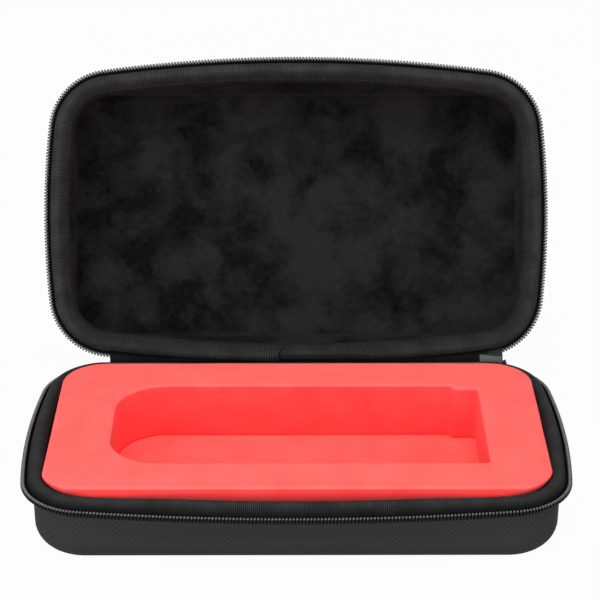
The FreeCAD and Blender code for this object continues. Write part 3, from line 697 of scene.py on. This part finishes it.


# Each half's tape carries its own painted shade. On the base, the bead's outer slope is painted dark down
# into the groove by the zip. On the lid, its inner band is painted darker.
BINDING_TAPE = {
    "base": ribbed_tape("base_binding_tape_painted_shade", (0.047, 0.048, 0.048), 5.8 * MM, 3.0 * MM, 0.05),
    "lid": ribbed_tape("lid_binding_tape_painted_shade", (0.058, 0.059, 0.059), 6.8 * MM, 8.6 * MM, 0.6),
}
SEWING_THREAD = sewing_thread("sewing_thread", (0.004, 0.004, 0.0044), (0.036, 0.037, 0.037))
# The fold's finish reuses the thread recipe in near-black: painted shadow along the tape's fold.
FOLD_SHADOW = sewing_thread("painted_fold_shadow", (0.0004, 0.0004, 0.0004), (0.0012, 0.0012, 0.0012))
for half in ("base", "lid"):
    section = rounded_section(from_mm(BEAD_ROOT + BEAD_CROWN[half]), BEAD_ROUND, 5)
    bead = bead_mesh(f"{half}_rim_binding", section, *BEAD_BENDS[half])
    fold = fold_shadow_mesh(f"{half}_binding_fold_shadow", bead)
    seam = stitch_mesh(f"{half}_binding_stitches", *STITCH_AT[half])
    binding = add_piece(bead, half, BINDING_TAPE[half], [f"{half}_binding"])
    stitches = add_piece(seam, half, SEWING_THREAD)
    fold_shadow_piece = add_piece(fold, half, FOLD_SHADOW)
    for piece in (binding, stitches, fold_shadow_piece):
        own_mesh(piece)


# Zip tapes
# A woven tape carries each side of the zip from the back right corner round the front to the back left.
# Its inner edge is sewn to the wall under the rim, and its outer edge turns up inside the coil.
BACK, BACK_LEFT = 2, 3
ZIP_EXTRA = {"base": 0, "lid": 6}
TAPE_EDGE = {"base": 1.1, "lid": 0.7}
TAPE_ROUND = 0.5 * MM
TWILL_PITCH = 0.6 * MM


def zip_line(inset, extra):
    """The rim's line without its back, from the back left round the front to the back right.

    Extra adds points at the back right end.
    """
    counts = [arc[-1] for arc in RIM_ARCS]
    start = sum(counts[:BACK_LEFT])
    return np.roll(rim_line(inset), -start, axis=0)[:sum(counts) - counts[BACK] + 1 + extra]


def section_lengths(section):
    lengths = [0.0]
    for near, far in zip(section, section[1:] + section[:1]):
        lengths.append(lengths[-1] + (far - near).length)
    return lengths


def tube(rows):
    """Points and faces of a tube, over rows that run along it, with both ends closed."""
    points, faces = lofted(rows, ring=True, loop=False)
    width = len(rows[0])
    for end in (0, width - 1):
        faces.append(tuple(end + row * width for row in range(len(rows))))
    return points, faces


def woven_tape():
    """Fine twill of the zip tape."""
    finish, tree, shader = new_finish("zip_tape", 0.85, Specular_IOR_Level=0.05)
    along, across = cloth_map(tree)[:2]
    twill = stretch(tree, wave(tree, math_node(tree, "ADD", along, across), TWILL_PITCH), -1, 1)
    paint(tree, shader, twill, (0.003, 0.003, 0.0033), (0.012, 0.012, 0.0125))
    bump(tree, shader, twill, 0.08 * MM, 0.5)
    return finish


ZIP_TAPE = woven_tape()
for half, edge in TAPE_EDGE.items():
    corners = [(5.3, -7.3), (edge + 0.45, -5.75), (edge, -5.4), (edge, -3.1), (edge + 0.45, -3.1),
               (edge + 0.5, -5.0), (5.3, -6.5)]
    section = rounded_section(from_mm(corners), TAPE_ROUND, 4)
    rows = [at_height(zip_line(point.x, ZIP_EXTRA[half]), point.y) for point in section]
    tape_mesh = make_mesh(f"{half}_zip_ribbon", *tube(rows))
    lengths = line_lengths(zip_line(RIM_WALL, ZIP_EXTRA[half]), False)
    strip_uv(tape_mesh, len(rows[0]), lengths, section_lengths(section))
    add_piece(tape_mesh, half, ZIP_TAPE, [f"{half}_zip_tape"])


# Zip coils
# Each side's teeth are one nylon filament, wound in a flat coil and sewn along the edge of the tape.
# Two turns of this coil lie in the place of each tooth of the frame.
COIL_PITCH = 1.65 * MM
COIL_STEPS, COIL_SIDES = 14, 7
COIL_OUT, COIL_UP = 0.76 * MM, 1.0 * MM
COIL_INSET, COIL_LEVEL = 0.96 * MM, -3.65 * MM
COIL_SHIFT = {"base": 0, "lid": 0.5}
COIL_GATHER = 0.12
FILAMENT = 0.36 * MM
CROWN_SWELL = 0.62
BEND_SWELL = {"base": 0.42, "lid": 0.75}


def coil_mesh(name, half):
    """Tube along a flat helix that follows the zip's line, thicker at its crowns and its outer bends.

    On the lid, the turns are shifted along by half a turn, so that they close between those of the base.
    """
    line = zip_line(COIL_INSET, ZIP_EXTRA[half])
    lengths = line_lengths(line, False)[:-1]
    turns = int(lengths[-1] / COIL_PITCH) - 1
    count = turns * COIL_STEPS + 1
    angles = np.arange(count) * 2 * math.pi / COIL_STEPS
    wound = angles / (2 * math.pi) - COIL_GATHER * np.sin(angles)
    along = (wound + 0.5 + COIL_SHIFT[half]) * COIL_PITCH
    middle = np.column_stack([np.interp(along, lengths, line[:, axis]) for axis in (0, 1)])
    ahead = np.gradient(middle, axis=0)
    ahead /= np.linalg.norm(ahead, axis=1)[:, None]
    outward = np.column_stack([ahead[:, 1], -ahead[:, 0], np.zeros(count)])
    out_share = np.sign(np.cos(angles)) * np.abs(np.cos(angles)) ** 0.7
    up_share = np.sign(np.sin(angles)) * np.abs(np.sin(angles)) ** 0.8
    spokes = outward * (out_share * COIL_OUT)[:, None]
    spokes[:, 2] += up_share * COIL_UP
    path = np.column_stack([middle, np.full(count, COIL_LEVEL)]) + spokes
    tangent = np.gradient(path, axis=0)
    tangent /= np.linalg.norm(tangent, axis=1)[:, None]
    side = np.cross(tangent, spokes)
    side /= np.linalg.norm(side, axis=1)[:, None]
    over = np.cross(side, tangent)
    crown = CROWN_SWELL * np.maximum(up_share, 0) ** 2
    bend = BEND_SWELL[half] * np.maximum(out_share, 0) ** 2
    thick = FILAMENT * (0.9 + crown + bend)[:, None]
    rows = []
    for turn in np.arange(COIL_SIDES) * 2 * math.pi / COIL_SIDES:
        rows.append(path + thick * (math.cos(turn) * side + math.sin(turn) * over))
    mesh = make_mesh(name, *tube(rows))
    # This map gives each point its share of the crown's height, which the nylon's painted highlight reads.
    layer = mesh.uv_layers.new(name="crown")
    for loop in mesh.loops:
        step = loop.vertex_index % count
        layer.data[loop.index].uv = (along[step], up_share[step])
    return mesh


def nylon():
    """Dull black, slightly glossy filament, whose crowns are painted pale grey as a painted highlight,
    mottled at random.
    """
    finish, tree, shader = new_finish("zip_nylon", 0.4, Specular_IOR_Level=0.16)
    crown, place = cloth_map(tree)[1:]
    wear = stretch(tree, speckle(tree, place, 1.1 * MM), 0.2, 0.8)
    painted_highlight_and_wear = math_node(tree, "MULTIPLY", stretch(tree, crown, 0.72, 1.0), math_node(tree, "ADD", wear, 0.5))
    # Painted highlight: the top of each crown is painted pale grey, mottled at random.
    paint(tree, shader, painted_highlight_and_wear, (0.002, 0.002, 0.0022), (0.150, 0.152, 0.155))
    tree.links.new(stretch(tree, wear, -1.6, 4.0), shader.inputs["Roughness"])
    return finish


ZIP_NYLON = nylon()
for half in ("base", "lid"):
    add_piece(coil_mesh(f"{half}_zip_coil", half), half, ZIP_NYLON, [f"{half}_zip_teeth"])


# Fabric hinge
# A strip of plain black cloth is sewn to the outside of both back walls, one leaf on each half.
# Between the leaves it is a loose web. On the case it gathers into the seam as the lid comes down; here it is
# drawn in one pose, with the lid open.
LEAF_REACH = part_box("base_hinge_leaf")[1][0]
LEAF_CORNERS = [(5.35, -11), (4.5, -11), (4.5, -1.2), (5.35, -1.2)]
LEAF_ROUND = 0.5 * MM
OPEN_FROM, OPEN_TO = math.pi, math.pi - LID_TURN
WEB_LEFT, WEB_RIGHT = -100 * MM, 103 * MM
WEB_INSETS, WEB_TAILS = (1.9 * MM, 1.9 * MM), (3 * MM, 3 * MM)
WEB_THICKNESS = 0.5 * MM
WEB_REACH = 4.6 * MM
WEB_STEPS = 17


def web_mesh(name, xs, insets, thickness, tails):
    """Cloth from the base's back edge over to the lid's, on arcs about the hinge.

    The insets are those of its two edges, and a tail goes down from each edge into its half.
    """
    radii = [np.clip(HINGE_Y - back_y(xs, inset), HINGE_ROOM, WEB_REACH) for inset in insets]
    walls = [HINGE_Y - back_y(xs, inset + tail * 0.8) for inset, tail in zip(insets, tails)]
    turns = np.concatenate([[OPEN_FROM], np.linspace(OPEN_FROM, OPEN_TO, WEB_STEPS), [OPEN_TO]])
    depths = np.concatenate([tails[:1], np.zeros(WEB_STEPS), tails[1:]])
    layers = []
    for layer in (-0.5, 0.5):
        for turn, depth in zip(turns, depths):
            share = (OPEN_FROM - turn) / (OPEN_FROM - OPEN_TO)
            near, far = walls if depth else radii
            reach = near * (1 - share) + far * share + layer * thickness
            into = turn + math.pi / 2 if turn == OPEN_FROM else turn - math.pi / 2
            back = HINGE_Y + reach * math.cos(turn) + depth * math.cos(into)
            up = reach * math.sin(turn) + depth * math.sin(into)
            layers.append(np.column_stack([xs, back, up]))
    half = len(turns)
    rows = layers[:half] + layers[half:][::-1]
    mesh = make_mesh(name, *tube(rows))
    across = [min(row, 2 * half - row) * 0.5 * MM for row in range(len(rows) + 1)]
    strip_uv(mesh, len(xs), np.append(xs - xs[0], xs[-1] - xs[0]), across)
    return mesh


def across_hinge(piece):
    """Bakes a piece's place into its mesh; the piece rides on neither half's body."""
    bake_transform(piece)


def plain_cloth(name, dark, light, thread):
    """Plain weave, over and under in both directions."""
    finish, tree, shader = new_finish(name, 0.9, Specular_IOR_Level=0.06)
    along, across = cloth_map(tree)[:2]
    crossing = math_node(tree, "MULTIPLY", wave(tree, along, thread), wave(tree, across, thread))
    weave = stretch(tree, crossing, -1, 1)
    paint(tree, shader, weave, dark, light)
    bump(tree, shader, weave, 0.1 * MM, 0.6)
    return finish


HINGE_CLOTH = plain_cloth("hinge_cloth", (0.0022, 0.0022, 0.0024), (0.0065, 0.0065, 0.007), 0.7 * MM)
leaf_xs = np.linspace(-LEAF_REACH, LEAF_REACH, 97)
for half in ("base", "lid"):
    section = rounded_section(from_mm(LEAF_CORNERS), LEAF_ROUND, 4)
    rows = []
    for point in section:
        rows.append(at_height(np.column_stack([leaf_xs, back_y(leaf_xs, point.x)]), point.y))
    leaf_mesh = make_mesh(f"{half}_hinge_strip", *tube(rows))
    lengths = np.append(leaf_xs - leaf_xs[0], 2 * LEAF_REACH)
    strip_uv(leaf_mesh, len(leaf_xs), lengths, section_lengths(section))
    add_piece(leaf_mesh, half, HINGE_CLOTH, [f"{half}_hinge_leaf"])
web_xs = np.linspace(WEB_LEFT, WEB_RIGHT, 110)
web_cloth = web_mesh("hinge_web", web_xs, WEB_INSETS, WEB_THICKNESS, WEB_TAILS)
web = add_piece(web_cloth, "base", HINGE_CLOTH, rides=False)
across_hinge(web)


# Zip end tabs
# A folded tab of webbing covers the zip's two ends at each back corner and ties the halves together there.
# The right one shows its pale smooth side below the fold and its woven side above.
TAB_SPAN = {"left": (-99.6 * MM, -90.5 * MM), "right": (98.6 * MM, 110.8 * MM)}
TAB_INSETS, TAB_TAILS = (2.65 * MM, 1.6 * MM), (0.3 * MM, 2.5 * MM)
TAB_THICKNESS = 0.4 * MM
TAB_FOLD = PARTING + 3.2 * MM
TAB_PALE = plain_cloth("tab_smooth", (0.075, 0.082, 0.079), (0.098, 0.106, 0.102), 1.6 * MM)
TAB_DARK = {
    "left": plain_cloth("tab_black", (0.003, 0.003, 0.0033), (0.009, 0.009, 0.0095), 0.7 * MM),
    "right": plain_cloth("tab_woven", (0.010, 0.010, 0.011), (0.036, 0.037, 0.038), 0.7 * MM),
}
for side, span in TAB_SPAN.items():
    tab_mesh = web_mesh(f"{side}_zip_tab", np.linspace(*span, 15), TAB_INSETS, TAB_THICKNESS, TAB_TAILS)
    covered = [f"{half}_{side}_end_tab" for half in ("base", "lid")]
    tab = add_piece(tab_mesh, "base", TAB_DARK[side], covered, rides=False)
    tab.data.materials.append(TAB_PALE)
    for face in tab.data.polygons:
        face.material_index = int(side == "right" and face.center.z < TAB_FOLD)
    across_hinge(tab)


# Zip slider and pull
# One die-cast slider, coated satin black, is parked at the right end of the base's chain behind the lid.
# It has a bail with a pin, and a flat pull that hangs from it.
def coated_metal():
    """Satin black coating with a fine orange-peel surface."""
    finish, tree, shader = new_finish("black_coating", 0.4, Metallic=0.6)
    place = add_node(tree, "ShaderNodeTexCoord").outputs["Object"]
    peel = speckle(tree, place, 0.6 * MM)
    paint(tree, shader, peel, (0.020, 0.020, 0.022), (0.034, 0.034, 0.036))
    bump(tree, shader, peel, 0.03 * MM, 0.4)
    return finish


BLACK_COATING = coated_metal()
for node_name in ("zip_slider", "zip_pull"):
    casting = frame["nodes"][node_name].data
    casting.materials.clear()
    casting.materials.append(BLACK_COATING)


# Floor, light and camera
# The case stands on a plain white sweep under broad soft lamps, with a long lens a little above it.
FLOOR_HALF = 6.0
FLOOR_GREY, WORLD_GREY = 0.36, 0.34
FLOOR_WHITE, WORLD_WHITE = 0.965, 1.0
LAMP_AIM = Vector((0, 0.02, 0.06))
LAMPS = {
    "overhead": ((0, -0.4, 1.28), 1.0, 0.6, 9),
    "front": ((-0.25, -1.5, 0.55), 1.4, 0.8, 19),
    "left": ((-1.3, -0.3, 0.6), 0.8, 1.0, 5),
    "right": ((1.3, -0.3, 0.6), 0.8, 1.0, 3.5),
}
CAMERA_AT = Vector((-0.58, -898.38, 522.89)) * MM
CAMERA_AIM = Vector((1.83, 0, 106.27)) * MM
CAMERA_LENS = 121.58
scene = bpy.context.scene
scene.view_settings.view_transform = "Standard"


def white_to_eye(tree, lit, strength):
    """Mixes a lit shader with plain white for what the camera and reflections see of it."""
    path = add_node(tree, "ShaderNodeLightPath")
    seen = math_node(tree, "MAXIMUM", path.outputs["Is Camera Ray"], path.outputs["Is Glossy Ray"])
    seen = math_node(tree, "MAXIMUM", seen, path.outputs["Is Transmission Ray"])
    glow = add_node(tree, "ShaderNodeEmission", {"Color": (1, 1, 1, 1), "Strength": 1.0})
    share = math_node(tree, "MULTIPLY", seen, strength)
    return add_node(tree, "ShaderNodeMixShader", {0: share, 1: lit, 2: glow.outputs[0]}).outputs[0]


floor_colour = (FLOOR_GREY, FLOOR_GREY, FLOOR_GREY, 1)
sweep, tree, shader = new_finish("white_sweep", 0.9, Base_Color=floor_colour, Specular_IOR_Level=0.1)
surface = tree.nodes["Material Output"].inputs["Surface"]
tree.links.new(white_to_eye(tree, shader.outputs[0], FLOOR_WHITE), surface)
floor_corners = [(x * FLOOR_HALF, y * FLOOR_HALF, 0) for x, y in ((-1, -1), (1, -1), (1, 1), (-1, 1))]
floor_mesh = bpy.data.meshes.new("floor")
floor_mesh.from_pydata(floor_corners, [], [(0, 1, 2, 3)])
floor_mesh.materials.append(sweep)
floor_sheet = bpy.data.objects.new("floor", floor_mesh)
bpy.context.collection.objects.link(floor_sheet)

scene.world = bpy.data.worlds.new("studio")
scene.world.use_nodes = True
tree = scene.world.node_tree
sky = tree.nodes["Background"]
sky.inputs["Color"].default_value = (WORLD_GREY, WORLD_GREY, WORLD_GREY, 1)
tree.links.new(white_to_eye(tree, sky.outputs[0], WORLD_WHITE), tree.nodes["World Output"].inputs["Surface"])

for name, (place, width, height, power) in LAMPS.items():
    lamp = bpy.data.lights.new(name, "AREA")
    lamp.shape = "RECTANGLE"
    lamp.size, lamp.size_y = width, height
    lamp.energy = power
    holder = bpy.data.objects.new(name, lamp)
    holder.location = place
    holder.rotation_euler = (LAMP_AIM - Vector(place)).to_track_quat("-Z", "Y").to_euler()
    bpy.context.collection.objects.link(holder)

eye = bpy.data.cameras.new("photo_view")
eye.lens = CAMERA_LENS
eye.sensor_width = 36
eye.clip_start = 0.01
camera = bpy.data.objects.new("photo_view", eye)
camera.location = CAMERA_AT
camera.rotation_euler = (CAMERA_AIM - CAMERA_AT).to_track_quat("-Z", "Y").to_euler()
bpy.context.collection.objects.link(camera)
scene.camera = camera
